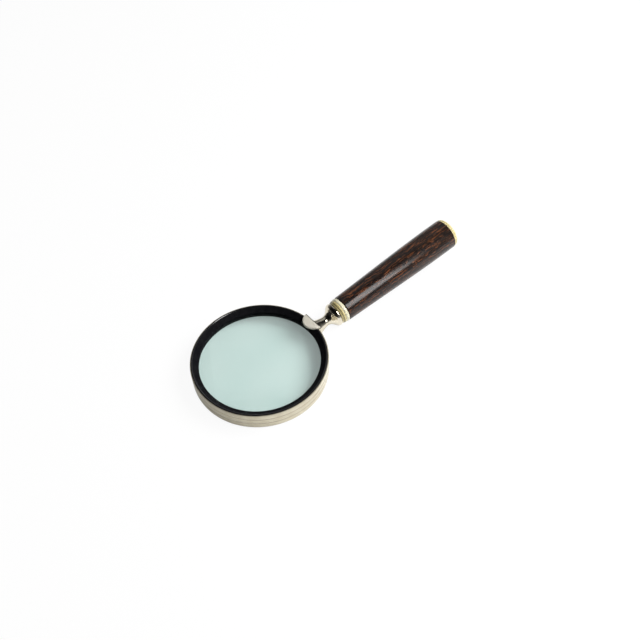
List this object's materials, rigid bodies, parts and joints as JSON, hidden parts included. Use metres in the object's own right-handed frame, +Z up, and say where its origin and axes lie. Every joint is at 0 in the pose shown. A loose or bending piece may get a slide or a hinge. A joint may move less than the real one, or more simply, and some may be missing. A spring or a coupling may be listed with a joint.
{
  "type": "magnifying glass",
  "caption": "Hand magnifying glass: round nickel frame with a biconvex lens, a black bezel, a turned ferrule with bone rings and a dark wood grip.",
  "frame": {"origin": "middle of the underside of the object's box, so the band's lower lip lies on z = 0", "axes": "+X along the object, from the lens towards the butt of the handle; +Y across; +Z up, out of the lens"},
  "size_m": [0.2366, 0.1, 0.036],
  "materials": {
    "nickel_satin": "satin nickel plate on brass",
    "nickel_polished": "mirror-polished nickel plate on brass",
    "black_ring": "black, semi-gloss",
    "rubber": "matt",
    "lens_glass": "polished, pale green-blue cast",
    "bone_yellow": "bone-coloured resin, polished",
    "bone_cream": "bone-coloured resin, polished",
    "dark_fibre": "matt",
    "dark_wood": "dark brown flecked hardwood, lacquered",
    "steel": "plain"
  },
  "bodies": {
    "root": {"frame_band": "nickel_satin", "lower_bezel": "black_ring", "lens_gasket": "rubber", "lens": "lens_glass", "upper_bezel": "black_ring", "ferrule_ear": "nickel_satin", "ferrule": "nickel_polished", "foot_screw": "steel", "small_collar": "bone_yellow", "large_collar": "bone_cream", "collar_spacer": "dark_fibre", "grip": "dark_wood", "tie_rod": "steel", "tie_rod_washer": "steel", "tie_rod_nut": "steel", "end_cap": "bone_cream"}
  },
  "joints": []
}
